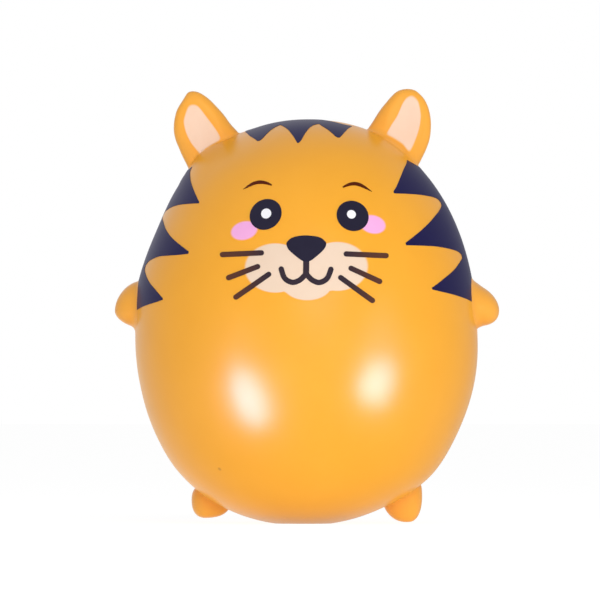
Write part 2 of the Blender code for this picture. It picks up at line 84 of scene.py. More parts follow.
# Ears, in millimetres in each ear's own plane: root as (x, height), lean, then half-widths as (up,
# width) before the rounded tip narrows them, on the outer and the inner side. The tip narrows by
# powers, and the buried end closes from an angle down from the tip, in radians. A fillet is (at the two
# ends, at the front and back), and a dish is (middle, half-sizes).
EAR_SEGMENTS = 72
EAR_RINGS = 120
EAR_HEIGHT = 17.7
EAR_BURIED = 7.0
EAR_BURIED_CLOSES = 2.4
EAR_HALF_THICKNESS = 3.4
EAR_SQUARENESS = 2.5
EAR_TIP_POWER = 3
EAR_THINNING_POWER = 4
EAR_FILLET = {"left": (0.3, 3.2), "right": (0.3, 0.6)}
EAR_ROOT = {"left": (25.54, 101.87), "right": (-24.71, 102.42)}
EAR_LEAN = {"left": math.radians(12.0), "right": math.radians(25.0)}
EAR_OUTER = {
    "left": [
        (-7, 4.6), (-2.2, 5.9), (0, 6.55), (2, 7.05), (5, 7.54), (8, 7.6), (11, 7.5),
        (14, 7.25), (16, 6.85), (17.7, 5.8),
    ],
    "right": [
        (-7, 8.8), (-2.2, 8.9), (0, 8.95), (3, 9.05), (5, 9.05), (7, 9.15), (9, 9.1), (11, 8.8),
        (13, 8.25), (15, 7.25), (17.7, 3.8),
    ],
}
EAR_INNER = {
    "left": [
        (-7, 13.6), (0, 11.6), (3, 10.5), (5, 9.66), (7, 9.03), (9, 8.62), (11, 8.26), (13, 7.93),
        (15, 8.05), (17.7, 9.0),
    ],
    "right": [(-7, 10.2), (0, 8.4), (2, 7.6), (5, 6.75), (8, 6.4), (11, 5.95), (14, 5.7), (17.7, 5.5)],
}
EAR_DISH_DEPTH = 0.9
EAR_DISH_POWER = 1.5
EAR_DISH = {"left": ((0.2, 8.6), (5.6, 9.0)), "right": ((1.6, 8.0), (5.6, 8.4))}
EAR_PATCH = {
    "left": [
        (0.4, 16.3), (2.2, 15.2), (3.4, 12.8), (4.1, 10.1), (4.1, 5.94), (2.9, 0.8), (0.4, 2.2),
        (-2.39, 3.3), (-4.4, 4.1), (-3.95, 6.48), (-2.75, 9.8), (-1.95, 13.6), (-1.05, 15.5),
    ],
    "right": [
        (0.41, 14.4), (1.94, 14.3), (4.25, 11.95), (5.03, 10.5), (5.57, 7.78), (5.51, 4.75), (4.9, 2.0),
        (4.3, 0.8), (2.6, 1.2), (0.6, 1.6), (-2.3, 1.9), (-2.8, 3.2), (-2.48, 5.84), (-1.64, 9.8),
        (-0.82, 13.2),
    ],
}
EAR_PATCH_MIDDLE = {"left": (0.4, 8.8), "right": (1.7, 7.6)}

# The skin rises at the right ear's foot, by heights at every 2 mm from 12 mm inwards to 14 mm outwards
# along the ear, in skin less than 12 mm below its root. The rise fades between two distances in front
# and behind.
EAR_SWELL_START = -12.0
EAR_SWELL_STEP = 2.0
EAR_SWELL = {"right": [0.0, 0.1, 0.3, 0.48, 0.65, 0.95, 1.42, 1.72, 1.95, 1.75, 0.9, 0.45, 0.25, 0.0]}
EAR_SWELL_LOWEST = -12.0
EAR_SWELL_DEPTH = (2.0, 20.0)

# Arms and feet: round nubs about a middle near the skin, as (x, y, height), with their reach along the
# nub, half-widths across it on the upper and lower side of an arm or the inner and outer side of a
# foot, and half-depth. At a squareness of 2 a nub's outline is an ellipse. A fillet is (all round,
# extra on the upper or inner side), and under the skin it runs on as a skirt with a slope, out to a
# share of the fillet.
NUB_SEGMENTS = 64
NUB_RINGS = 72
ARM_MIDDLE = {"left": (45.2, -1.2, 60.1), "right": (-45.2, 0.0, 58.5)}
ARM_REACH = {"left": 8.2, "right": 7.3}
ARM_WIDTHS = {"left": (5.8, 5.2), "right": (8.1, 4.7)}
ARM_DEPTH = {"left": 7.0, "right": 6.4}
ARM_SQUARENESS = {"left": 2.0, "right": 1.8}
ARM_DROOP = {"left": math.radians(24.8), "right": math.radians(1.5)}
ARM_FILLET = {"left": (2.2, 0.8), "right": (1.4, -0.9)}
FOOT_MIDDLE = {"left": (27.8, 6.4, 8.8), "right": (-27.45, 6.2, 6.25)}
FOOT_REACH = {"left": 8.5, "right": 4.8}
FOOT_WIDTHS = {"left": (7.15, 4.1), "right": (6.8, 4.0)}
FOOT_DEPTH = {"left": 5.2, "right": 5.0}
FOOT_SQUARENESS = {"left": 2.25, "right": 2.45}
FOOT_SPLAY = {"left": math.radians(3.4), "right": math.radians(-1.8)}
FOOT_FILLET = (0.3, 0.0)
NUB_BURIED = 4.5
SKIRT_SLOPE = 4.0
SKIRT_REACH = 0.8

# Print: how far each layer's face stands off the skin, how far its back lies under it, how much lower
# each further stroke of one print lies, and the angle from which an edge is shaded sharp
LAYER_LIFT = (0.10 * MM, 0.18 * MM, 0.26 * MM)
PRINT_BACK = 0.15 * MM
STROKE_DROP = 0.01 * MM
PRINT_SHARP_DEGREES = 40

# Print meshes: points round a disc, along each span of a smooth curve and round the joined muzzle
# lobes. A stroke has columns across it and stations down it, at a pitch in millimetres, or in steps
# down a taper or round an end cap. A cap stands over the line's end by a share of the half-width.
DISC_STEPS = 96
CURVE_STEPS = 8
NOSE_STEPS = 10
EDGE_STEPS = 7
MUZZLE_STEPS = 240
STROKE_COLUMNS = 4
STATION_PITCH = 0.5
FEWEST_STATIONS = 8
TAPER_STEPS = 24
CAP_STEPS = 6
CAP_OVERHANG = 0.5

# Vertices nearer than this are one: on a piece in metres, on a print's flat disc, and along a stroke
PIECE_MERGE = 1e-7
DISC_MERGE = 1e-5
STROKE_MERGE = 1e-6

# Face print, as the camera sees it: (x, height) on the front of the head in millimetres. An eye or
# cheek is (middle, half-sizes, tilt in degrees). A brow runs from its thin outer end to its blunt inner
# one, as wide as a part of a sine wave in radians, to a power, over a least width.
EYE = {"left": ((12.77, 84.42), (4.48, 4.03), -29), "right": ((-11.07, 84.83), (4.6, 3.99), 36)}
GLINT_FLATNESS = 0.93
GLINT = {"left": ((12.41, 84.8), 1.23), "right": ((-10.9, 85.02), 1.42)}
CHEEK = {"left": ((18.3, 82.1), (3.85, 2.7), -14), "right": ((-17.0, 80.4), (4.05, 2.72), 15)}
BROW = {
    "left": [(18.1, 91.1), (16.3, 92.2), (14.7, 93.0), (13.15, 93.3), (11.6, 93.0), (10.1, 92.3)],
    "right": [(-17.3, 91.7), (-15.5, 92.8), (-13.95, 93.5), (-12.4, 93.7), (-10.8, 93.45), (-9.4, 92.9)],
}
BROW_HALF_WIDTH = 0.45
BROW_WAVE = 2.75
BROW_POWER = 0.9
BROW_LEAST = 0.02
MUZZLE_LOBES = [
    ((0.0, 71.8), (6.9, 4.9)),
    ((-8.6, 70.15), (8.5, 6.9)),
    ((8.75, 70.6), (8.55, 6.85)),
    ((0.35, 65.65), (6.95, 4.55)),
]
MUZZLE_MIDDLE = (0.1, 69.6)
NOSE = [
    (-0.1, 79.05), (-3.4, 78.6), (-5.05, 77.45), (-5.35, 76.5), (-4.7, 75.1), (-2.5, 73.15), (-0.74, 72.0),
    (0.94, 72.0), (2.66, 73.15), (4.79, 75.1), (5.52, 76.5), (5.24, 77.45), (3.57, 78.6),
]
NOSE_MIDDLE = (0.05, 76.4)
MOUTH_STEM = [(0.05, 73.0), (0.05, 70.4), (0.0, 68.0)]
MOUTH_STEM_HALF_WIDTH = 0.85
MOUTH_ARC = {
    "left": [(0.1, 68.5), (0.75, 67.7), (1.9, 66.7), (3.75, 66.15), (5.8, 67.3), (6.95, 70.1)],
    "right": [(0.0, 68.5), (-0.75, 67.7), (-1.9, 66.7), (-3.8, 66.2), (-5.85, 67.35), (-6.9, 70.2)],
}
MOUTH_HALF_WIDTH = 0.74
WHISKER = {
    "left_upper": ((10.65, 74.0), (22.3, 73.5)),
    "left_middle": ((12.0, 70.2), (20.5, 66.3)),
    "left_lower": ((9.2, 67.7), (18.5, 61.0)),
    "right_upper": ((-11.85, 74.3), (-23.3, 73.8)),
    "right_middle": ((-12.9, 70.65), (-21.5, 67.35)),
    "right_lower": ((-9.9, 68.6), (-19.45, 61.95)),
}
WHISKER_HALF_WIDTH = 0.72

# Flank stripes: smooth runs of the front edge between sharp tips, as degrees round from the front and
# height, how far round a row's front and back ends add up to, and how far the top edge sags between
# them
FLANK_EDGE = {
    "left": [
        [(69.7, 99.7), (58.4, 97.4), (51.0, 95.2), (46.2, 93.3), (41.0, 91.0)],
        [(40.8, 90.5), (52.3, 90.3), (60.7, 90.0), (70.2, 89.4), (74.4, 88.6), (73.8, 87.3), (68.8, 86.1),
         (61.0, 84.2), (52.8, 81.7), (46.1, 79.5), (39.1, 77.0)],
        [(39.2, 76.3), (47.0, 76.2), (54.8, 76.0), (62.5, 75.5), (70.2, 74.8), (74.6, 74.0), (75.0, 72.9),
         (70.8, 71.7), (64.0, 69.6), (56.5, 67.4), (48.3, 64.7)],
        [(48.7, 64.2), (54.6, 63.5), (61.1, 62.8), (67.2, 62.1), (76.3, 61.1), (84, 60.3)],
    ],
    "right": [
        [(77.1, 97.3), (75.7, 96.3), (69.1, 94.5), (61.5, 92.3), (55.5, 90.2), (50.6, 88.2)],
        [(50.5, 87.8), (56.3, 87.7), (64.0, 87.5), (72.2, 87.0), (80.0, 86.2), (86.0, 85.6), (90.5, 84.8),
         (87.0, 84.0), (78.0, 82.8), (68.3, 80.4), (60.5, 78.3), (53.3, 76.4), (47.3, 74.6)],
        [(47.3, 74.0), (52.3, 73.7), (59.6, 73.5), (65.8, 73.3), (72.0, 72.6), (77.6, 71.6), (79.2, 70.0),
         (74.0, 68.0), (68.2, 66.0), (62.5, 64.1), (57.2, 61.9)],
        [(57.2, 61.4), (61.2, 60.8), (67.3, 60.1), (72.9, 59.5), (81.2, 58.6), (86, 58.2)],
    ],
}
FLANK_TURN = {"left": 180, "right": 185}
FLANK_SAG = {"left": 1.9, "right": 0.9}
FLANK_COLUMNS = 28

# Crown stripes: front edge in runs between tips and notches, and the plain back edge, as (x, distance
# forward), and the least length of a row
CROWN_EDGE = [
    [(-16.5, 5.4), (-15.4, 11.6), (-13.3, 17.5)],
    [(-12.6, 17.8), (-11.9, 17.1), (-10.4, 14.3), (-8.8, 11.5), (-7.2, 9.6)],
    [(-7.0, 9.6), (-4.9, 15.4), (-3.6, 19.5), (-2.4, 23.1)],
    [(-1.9, 23.2), (-1.25, 22.0), (-0.1, 18.3), (1.0, 15.0), (2.1, 12.6), (3.4, 11.1)],
    [(3.6, 11.1), (4.4, 13.0), (6.2, 15.9), (8.0, 19.0)],
    [(8.8, 19.4), (9.5, 18.6), (10.8, 14.3), (12.6, 6.9)],
]
CROWN_BACK = [(-16.5, -4.0), (-9.0, -3.2), (-2.0, -2.0), (3.3, 1.0), (7.7, 5.6), (10.5, 7.2), (12.6, 6.8)]
CROWN_COLUMNS = 20
CROWN_LEAST = 0.02

# Patterns of the finishes: size across, and depth of relief
WAVE_SIZE = 24 * MM
WAVE_DEPTH = 0.35 * MM
PORE_SIZE = 0.9 * MM
FOAM_PORE_DEPTH = 0.004 * MM
INK_PORE_DEPTH = 0.003 * MM
MOTTLE_SIZE = 11 * MM
WEAR_SIZE = 5 * MM
CLOUD_SIZE = 3.5 * MM
PAPER_GRAIN = 3 * MM

# Finishes: the pinhole in the foam's skin, painted as a darker spot of shade, as (x, height), its radii
# and strength; the lacquer, and where it thins out behind the middle; the inks, and where the line ink
# turns browner on its way out
FOAM_ROUGHNESS = (0.27, 0.31)
PIT_PLACE = (-23.55, 14.95)
PIT_RADII = (0.25 * MM, 0.8 * MM)
PIT_SHADE_STRENGTH = 0.7
PIT_SHADE_COLOUR = "#cc842c"
LACQUER_IOR = 1.36
BARE_IOR = 1.0
LACQUER_FADE = (3 * MM, 17 * MM)
INK_IOR = 1.2
INK_GLOSS_TINT = (0.75, 0.65, 1.0, 1.0)
INK_ROUGHNESS_SPREAD = 0.03
ORANGE_UNDER_INK = "#fbb142"
LINE_OVER_ORANGE = "#5b392d"
LINE_FADE = (9 * MM, 21 * MM)

# Light table: its glow on the toy beside a white of 1, less under the toy's foot, and what the camera
# sees
FLOOR_HALF_SIZE = 4.0
TABLE_GLOW = 0.78
FOOT_GLOW = 0.36
FOOT_GLOW_REACH = 36 * MM
FLOOR_WHITE = 0.9

# Room: its even light, and its shades in gloss by direction, across from the toy's right to its left,
# from the ground up, and up to the ceiling
ROOM_LIGHT = 0.325
ROOM_ACROSS = {"From Min": -0.3, "From Max": 0.6, "To Min": 0.88, "To Max": 0.5}
ROOM_GROUND = {"From Min": -0.95, "From Max": -0.35, "To Min": 0.35, "To Max": 1.0}
ROOM_CEILING = {"From Min": 0.1, "From Max": 0.75, "To Min": 1.0, "To Max": 1.45}
SHEEN_COLOUR = (0.92, 0.62, 1.0)

# Camera: the photograph's frame is 600 pixels wide, with the toy's middle at 306 across. A point of the
# face is brought onto its line of sight in a few rounds.
PIXEL = 0.2746 * MM
CAMERA_DISTANCE = 5.0
FRAME_WIDTH = 600 * PIXEL
FRAME_MIDDLE = Vector((-6 * PIXEL, 0, 61.37 * MM))
SIGHT_ROUNDS = 3


def egg_reach(z):
    """Distance from the widest ring to the pole on the side of height z."""
    return CROWN - EQUATOR if z >= EQUATOR else EQUATOR + BASE_CUT


def egg_fullness(z):
    return UPPER_FULLNESS if z >= EQUATOR else LOWER_FULLNESS


def egg_radius(z):
    """Radius of the turned egg at height z."""
    fullness = egg_fullness(z)
    share = min(abs(z - EQUATOR) / egg_reach(z), 1.0)
    return HALF_WIDTH * (1 - share ** fullness) ** (1 / fullness)


def egg_height(radius):
    """Height of the egg's upper half at a distance from the axis."""
    share = min(radius / HALF_WIDTH, 1.0)
    return EQUATOR + (CROWN - EQUATOR) * (1 - share ** UPPER_FULLNESS) ** (1 / UPPER_FULLNESS)


def egg_slope(point):
    """(how full the egg is there, its gradient): the egg's surface is where it is 1."""
    power = egg_fullness(point.z)
    radius = math.hypot(point.x, point.y)
    reach = egg_reach(point.z)
    level = point.z - EQUATOR
    full = (radius / HALF_WIDTH) ** power + (abs(level) / reach) ** power
    outward = power * (radius / HALF_WIDTH) ** (power - 1) / HALF_WIDTH
    upward = math.copysign(power * (abs(level) / reach) ** (power - 1) / reach, level)
    if radius < 1e-9:
        return full, Vector((0, 0, upward))
    return full, Vector((outward * point.x / radius, outward * point.y / radius, upward))


def egg_normal(point):
    return egg_slope(point)[1].normalized()


def off_skin(point):
    """How far a point stands off the egg, below nought inside it."""
    full, gradient = egg_slope(point)
    return (full - 1) / max(gradient.length, 1e-6)


def smooth_share(value, start, end):
    """How far a value has gone from start to end, eased at both."""
    share = min(max((value - start) / (end - start), 0.0), 1.0)
    return share * share * (3 - 2 * share)


def lean_at(z):
    """How far the body leans across at a height."""
    return sum(shift * smooth_share(z / MM, start, end) for start, end, shift in LEAN) * MM


def settle(point):
    """Moves a point of the turned egg to where the poured body has it."""
    aside = min(abs(point.x) / max(egg_radius(point.z), MM), 1.0) ** SETTLE_FADE
    shift = lean_at(point.z)
    for side, height, half, inset in SETTLE:
        if point.x * side > 0:
            shift -= side * inset * MM * aside * math.exp(-((point.z / MM - height) / half) ** 2)
    return point + Vector((shift, 0, 0))


def on_front(x, z, lift):
    """The point of the front that the camera sees at (x, z) in millimetres, raised off the skin by lift."""
    seen = Vector((x * MM, 0, z * MM))
    point = seen.copy()
    for _ in range(SIGHT_ROUNDS):
        point.y = -math.sqrt(max(egg_radius(point.z) ** 2 - point.x ** 2, 0))
        nearer = 1 + point.y / CAMERA_DISTANCE
        point.x = FRAME_MIDDLE.x + (seen.x - FRAME_MIDDLE.x) * nearer
        point.z = FRAME_MIDDLE.z + (seen.z - FRAME_MIDDLE.z) * nearer
    return settle(point + egg_normal(point) * lift)


def on_flank(degrees, z, lift):
    """The point at degrees round from the front and at z in millimetres, raised off the skin by lift."""
    turn, z = math.radians(degrees), z * MM
    radius = egg_radius(z)
    point = Vector((radius * math.sin(turn), -radius * math.cos(turn), z))
    return settle(point + egg_normal(point) * (lift + ear_swell(point)))


def on_crown(x, forward, lift):
    """The point of the crown above (x, distance forward) in millimetres, raised off the skin by lift."""
    point = Vector((x * MM - lean_at(CROWN), -forward * MM, 0))
    point.z = egg_height(math.hypot(point.x, point.y))
    return settle(point + egg_normal(point) * (lift + ear_swell(point)))


def spline(before, start, end, after, share):
    """A Catmull-Rom point between start and end."""
    made = []
    for a, b, c, d in zip(before, start, end, after):
        slope = (c - a) * share
        square = (2 * a - 5 * b + 4 * c - d) * share ** 2
        cube = (3 * b - a - 3 * c + d) * share ** 3
        made.append(0.5 * (2 * b + slope + square + cube))
    return tuple(made)


def smooth_line(points, steps):
    """An open smooth curve through the points."""
    first = tuple(2 * a - b for a, b in zip(points[0], points[1]))
    last = tuple(2 * a - b for a, b in zip(points[-1], points[-2]))
    around = [first, *points, last]
    made = []
    for index in range(len(points) - 1):
        made += [spline(*around[index:index + 4], step / steps) for step in range(steps)]
    return made + [tuple(points[-1])]


def smooth_loop(points, steps):
    """A closed smooth curve through the points."""
    count = len(points)
    made = []
    for index in range(count):
        around = [points[(index + shift) % count] for shift in (-1, 0, 1, 2)]
        made += [spline(*around, step / steps) for step in range(steps)]
    return made


def spaced_loop(points, count):
    """The loop again, with count points at even distances along it."""
    closed = points + [points[0]]
    lengths = [math.dist(a, b) for a, b in zip(closed, closed[1:])]
    pitch = sum(lengths) / count
    made, index, gone = [], 0, 0.0
    for step in range(count):
        while gone + lengths[index] < step * pitch:
            gone += lengths[index]
            index += 1
        share = (step * pitch - gone) / lengths[index]
        start, end = closed[index], closed[index + 1]
        made.append(tuple(a + (b - a) * share for a, b in zip(start, end)))
    return made


def value_at(points, place):
    """The smooth value at a place along points of (place, value)."""
    for index in range(len(points) - 1):
        if place <= points[index + 1][0] or index == len(points) - 2:
            start, end = points[index], points[index + 1]
            before = points[max(index - 1, 0)]
            after = points[min(index + 2, len(points) - 1)]
            share = (place - start[0]) / (end[0] - start[0])
            return spline(before[1:], start[1:], end[1:], after[1:], share)[0]


def ellipse(middle, half_sizes, degrees, count):
    """A loop round a tilted ellipse."""
    tilt = math.radians(degrees)
    made = []
    for step in range(count):
        turn = math.tau * step / count
        along, across = half_sizes[0] * math.cos(turn), half_sizes[1] * math.sin(turn)
        made.append((
            middle[0] + along * math.cos(tilt) - across * math.sin(tilt),
            middle[1] + along * math.sin(tilt) + across * math.cos(tilt),
        ))
    return made


def joined_lobes(lobes, middle, count):
    """The outline of joined ellipses, as far as each ray from the middle reaches."""
    made = []
    for step in range(count):
        turn = math.tau * step / count
        way = (math.cos(turn), math.sin(turn))
        reach = 0.0
        for (x, z), (half_x, half_z) in lobes:
            px, pz = (middle[0] - x) / half_x, (middle[1] - z) / half_z
            dx, dz = way[0] / half_x, way[1] / half_z
            a, b = dx * dx + dz * dz, px * dx + pz * dz
            inside = b * b - a * (px * px + pz * pz - 1)
            if inside > 0:
                reach = max(reach, (-b + math.sqrt(inside)) / a)
        made.append((middle[0] + way[0] * reach, middle[1] + way[1] * reach))
    return made


def linear(text):
    """An sRGB hex colour as linear red, green, blue and alpha."""
    parts = [int(text[i:i + 2], 16) / 255 for i in (1, 3, 5)]
    return [p / 12.92 if p <= 0.04045 else ((p + 0.055) / 1.055) ** 2.4 for p in parts] + [1.0]


def add_node(tree, kind, settings=None, values=None, links=None):
    """Adds a node, sets its settings and its sockets' values, and links other nodes' outputs to it."""
    node = tree.nodes.new(kind)
    for name, value in (settings or {}).items():
        setattr(node, name, value)
    for socket, value in (values or {}).items():
        node.inputs[socket].default_value = value
    for socket, source in (links or {}).items():
        tree.links.new(source, node.inputs[socket])
    return node


def start_material(name):
    """(material, its tree, its Principled shader, Object coordinates)"""
    made = bpy.data.materials.new(name)
    made.use_nodes = True
    tree = made.node_tree
    place = add_node(tree, "ShaderNodeTexCoord").outputs["Object"]
    return made, tree, tree.nodes["Principled BSDF"], place


def skin_relief(tree, place, grain):
    """Normals of the moulded skin: slow waves of hand-poured foam under pores as deep as grain."""
    waves = add_node(
        tree, "ShaderNodeTexNoise", None,
        {"Scale": 1 / WAVE_SIZE, "Detail": 1.0, "Roughness": 0.4}, {"Vector": place},
    )
    slow = add_node(
        tree, "ShaderNodeBump", None, {"Strength": 1.0, "Distance": WAVE_DEPTH},
        {"Height": waves.outputs["Fac"]},
    )
    pores = add_node(
        tree, "ShaderNodeTexNoise", None,
        {"Scale": 1 / PORE_SIZE, "Detail": 2.0, "Roughness": 0.55}, {"Vector": place},
    )
    return add_node(
        tree, "ShaderNodeBump", None, {"Strength": 1.0, "Distance": grain},
        {"Height": pores.outputs["Fac"], "Normal": slow.outputs["Normal"]},
    ).outputs["Normal"]


def foam_material(name, deep, pale):
    # Self-skinned polyurethane foam with a clear lacquer: a soft satin orange, faint mottling where the
    # pigment settled, and a pinhole where a bubble broke the body's skin. No hole is modelled: a darker
    # spot is painted there as the shade inside it. The lacquer thins out behind the body's middle, and with
    # it the shine. The pores are drawn at 0.9 mm because the real ones, under 0.1 mm, are too fine to show.
    made, tree, shader, place = start_material(name)
    mottle = add_node(
        tree, "ShaderNodeTexNoise", None,
        {"Scale": 1 / MOTTLE_SIZE, "Detail": 3.0, "Roughness": 0.5}, {"Vector": place},
    )
    tint = add_node(
        tree, "ShaderNodeMix", {"data_type": "RGBA"},
        {"A": linear(deep), "B": linear(pale)}, {"Factor": mottle.outputs["Fac"]},
    )
    # The pinhole's painted shade: a darker spot that fades out from its middle
    pit = add_node(
        tree, "ShaderNodeVectorMath", {"operation": "DISTANCE"}, None, {0: place},
    )
    pit.inputs[1].default_value = on_front(*PIT_PLACE, 0)
    pit_shade_share = add_node(
        tree, "ShaderNodeMapRange", {"interpolation_type": "SMOOTHSTEP"},
        {"From Min": PIT_RADII[0], "From Max": PIT_RADII[1], "To Min": PIT_SHADE_STRENGTH, "To Max": 0.0},
        {"Value": pit.outputs["Value"]},
    )
    colour = add_node(
        tree, "ShaderNodeMix", {"data_type": "RGBA"}, {"B": linear(PIT_SHADE_COLOUR)},
        {"Factor": pit_shade_share.outputs["Result"], "A": tint.outputs["Result"]},
    )
    wear = add_node(
        tree, "ShaderNodeTexNoise", None,
        {"Scale": 1 / WEAR_SIZE, "Detail": 2.0, "Roughness": 0.5}, {"Vector": place},
    )
    rough = add_node(
        tree, "ShaderNodeMapRange", None, {"To Min": FOAM_ROUGHNESS[0], "To Max": FOAM_ROUGHNESS[1]},
        {"Value": wear.outputs["Fac"]},
    )
    tree.links.new(colour.outputs["Result"], shader.inputs["Base Color"])
    tree.links.new(rough.outputs["Result"], shader.inputs["Roughness"])
    tree.links.new(skin_relief(tree, place, FOAM_PORE_DEPTH), shader.inputs["Normal"])
    across = add_node(tree, "ShaderNodeSeparateXYZ", None, None, {"Vector": place})
    lacquer = add_node(
        tree, "ShaderNodeMapRange", {"interpolation_type": "SMOOTHSTEP"},
        {
            "From Min": LACQUER_FADE[0], "From Max": LACQUER_FADE[1],
            "To Min": LACQUER_IOR, "To Max": BARE_IOR,
        },
        {"Value": across.outputs["Y"]},
    )
    tree.links.new(lacquer.outputs["Result"], shader.inputs["IOR"])
    return made


def ink_material(name, thick, thin, roughness, soft_edge=0.0):
    # Pad-printed ink: an even satin film that takes the skin's waves and thins out in faint clouds,
    # with a weak gloss that is a little violet. With a soft edge, its last share of the way out fades
    # into the foam's orange as a sprayed spot does.
    made, tree, shader, place = start_material(name)
    clouds = add_node(
        tree, "ShaderNodeTexNoise", None,
        {"Scale": 1 / CLOUD_SIZE, "Detail": 3.0, "Roughness": 0.55}, {"Vector": place},
    )
    colour = add_node(
        tree, "ShaderNodeMix", {"data_type": "RGBA"},
        {"A": linear(thick), "B": linear(thin)}, {"Factor": clouds.outputs["Fac"]},
    )
    if soft_edge:
        flat = add_node(tree, "ShaderNodeUVMap", {"uv_map": "print"})
        out = add_node(
            tree, "ShaderNodeVectorMath", {"operation": "LENGTH"}, None, {0: flat.outputs["UV"]},
        )
        fade = add_node(
            tree, "ShaderNodeMapRange", {"interpolation_type": "SMOOTHSTEP"},
            {"From Min": 1 - soft_edge, "From Max": 1.0, "To Min": 0.0, "To Max": 1.0},
            {"Value": out.outputs["Value"]},
        )
        colour = add_node(
            tree, "ShaderNodeMix", {"data_type": "RGBA"}, {"B": linear(ORANGE_UNDER_INK)},
            {"Factor": fade.outputs["Result"], "A": colour.outputs["Result"]},
        )
    rough = add_node(
        tree, "ShaderNodeMapRange", None,
        {"To Min": roughness - INK_ROUGHNESS_SPREAD, "To Max": roughness + INK_ROUGHNESS_SPREAD},
        {"Value": clouds.outputs["Fac"]},
    )
    tree.links.new(colour.outputs["Result"], shader.inputs["Base Color"])
    tree.links.new(rough.outputs["Result"], shader.inputs["Roughness"])
    tree.links.new(skin_relief(tree, place, INK_PORE_DEPTH), shader.inputs["Normal"])
    shader.inputs["IOR"].default_value = INK_IOR
    shader.inputs["Specular Tint"].default_value = INK_GLOSS_TINT
    return made


def line_ink_material():
    # The line ink is thin: it looks nearly black over the cream of the muzzle, and browner towards the
    # whiskers' ends, over the orange.
    made = ink_material("brown_pad_ink", "#302930", "#382e37", 0.42)
    tree = made.node_tree
    shader = tree.nodes["Principled BSDF"]
    plain = shader.inputs["Base Color"].links[0].from_socket
    place = add_node(tree, "ShaderNodeTexCoord").outputs["Object"]
    across = add_node(tree, "ShaderNodeSeparateXYZ", None, None, {"Vector": place})
    out = add_node(tree, "ShaderNodeMath", {"operation": "ABSOLUTE"}, None, {0: across.outputs["X"]})
    share = add_node(
        tree, "ShaderNodeMapRange", {"interpolation_type": "SMOOTHSTEP"},
        {"From Min": LINE_FADE[0], "From Max": LINE_FADE[1], "To Min": 0.0, "To Max": 1.0},
        {"Value": out.outputs["Value"]},
    )
    mixed = add_node(
        tree, "ShaderNodeMix", {"data_type": "RGBA"}, {"B": linear(LINE_OVER_ORANGE)},
        {"Factor": share.outputs["Result"], "A": plain},
    )
    tree.links.new(mixed.outputs["Result"], shader.inputs["Base Color"])
    return made


def finish_mesh(name, bm, material, sharp_degrees=60):
    """Turns a closed bmesh into a smooth-shaded piece at the origin."""
    bmesh.ops.remove_doubles(bm, verts=bm.verts, dist=PIECE_MERGE)
    bmesh.ops.recalc_face_normals(bm, faces=bm.faces)
    mesh = bpy.data.meshes.new(name)
    bm.to_mesh(mesh)
    bm.free()
    mesh.materials.append(material)
    mesh.shade_smooth()
    mesh.set_sharp_from_angle(angle=math.radians(sharp_degrees))
    piece = bpy.data.objects.new(name, mesh)
    bpy.context.scene.collection.objects.link(piece)
    return piece


def make_skin(foam):
    """The whole egg as one skin, turned from its profile."""
    profile = [(0.0, 0.0)]
    lower, upper = (-1, LOWER_FULLNESS, EQUATOR + BASE_CUT), (1, UPPER_FULLNESS, CROWN - EQUATOR)
    for half, fullness, reach in (lower, upper):
        for ring in range(SKIN_RINGS + 1):
            lean = math.pi / 2 * (1 - ring / SKIN_RINGS if half < 0 else ring / SKIN_RINGS)
            rise = math.sin(lean) ** (2 / fullness)
            z = EQUATOR + half * rise * reach
            if z > 0:
                profile.append((egg_radius(z), z))
    flat = egg_radius(0)
    profile[1:1] = [(flat * share, 0.0) for share in BASE_RINGS]
    profile[-1] = (0.0, CROWN)
    bm = bmesh.new()
    verts = [bm.verts.new((radius, 0, z)) for radius, z in profile]
    edges = [
        bm.edges.new(pair) for pair in zip(verts, verts[1:])
        if (pair[0].co - pair[1].co).length > PIECE_MERGE
    ]
    bmesh.ops.spin(
        bm, geom=verts + edges, cent=(0, 0, 0), axis=(0, 0, 1),
        angle=math.tau, steps=SKIN_STEPS, use_merge=True,
    )
    for vert in bm.verts:
        vert.co = settle(vert.co + egg_normal(vert.co) * ear_swell(vert.co))
    skin = finish_mesh("foam_skin", bm, foam)
    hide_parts("belly", "head")
    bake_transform(skin)
    return skin


def off_body(point):
    """How far a point stands off the poured body, with its settling and its swell at the ears."""
    turned = 2 * point - settle(point)
    return off_skin(turned) - ear_swell(turned)


def flare(point, away, fillet):
    """Spreads a lobe's wall out where it meets the skin: a round fillet, and a skirt under the skin."""
    off = off_body(point)
    if off < 0:
        spread = fillet + min(-SKIRT_SLOPE * off, SKIRT_REACH * fillet)
    else:
        spread = fillet - math.sqrt(max(fillet ** 2 - (fillet - min(off, fillet)) ** 2, 0))
    moved = point + away * spread
    return moved - egg_normal(moved) * max(off_body(moved) - off, 0)


def ear_axes(side):
    """(root, outward, up) of an ear's own plane."""
    sign, lean = SIDES[side], EAR_LEAN[side]
    x, z = EAR_ROOT[side]
    outward = Vector((sign * math.cos(lean), 0, -math.sin(lean)))
    up = Vector((sign * math.sin(lean), 0, math.cos(lean)))
    return Vector((x, 0, z)) * MM, outward, up


def ear_swell(point):
    """How far the skin stands out at a point of the egg, to meet the feet of the ears."""
    total = 0.0
    for side, rises in EAR_SWELL.items():
        root, outward, upward = ear_axes(side)
        heights = [(EAR_SWELL_START + EAR_SWELL_STEP * step, rise) for step, rise in enumerate(rises)]
        away = (point - root) / MM
        along = away.dot(outward)
        if away.dot(upward) > EAR_SWELL_LOWEST and heights[0][0] < along < heights[-1][0]:
            forward = smooth_share(abs(point.y) / MM, *EAR_SWELL_DEPTH)
            total += value_at(heights, along) * (1 - forward)
    return total * MM


def ear_half_width(side, across, up):
    """The ear's reach from its axis at a height, on the side that across points to."""
    widths = EAR_OUTER[side] if across >= 0 else EAR_INNER[side]
    return value_at(widths, up) * math.sqrt(max(1 - max(up / EAR_HEIGHT, 0) ** EAR_TIP_POWER, 0))


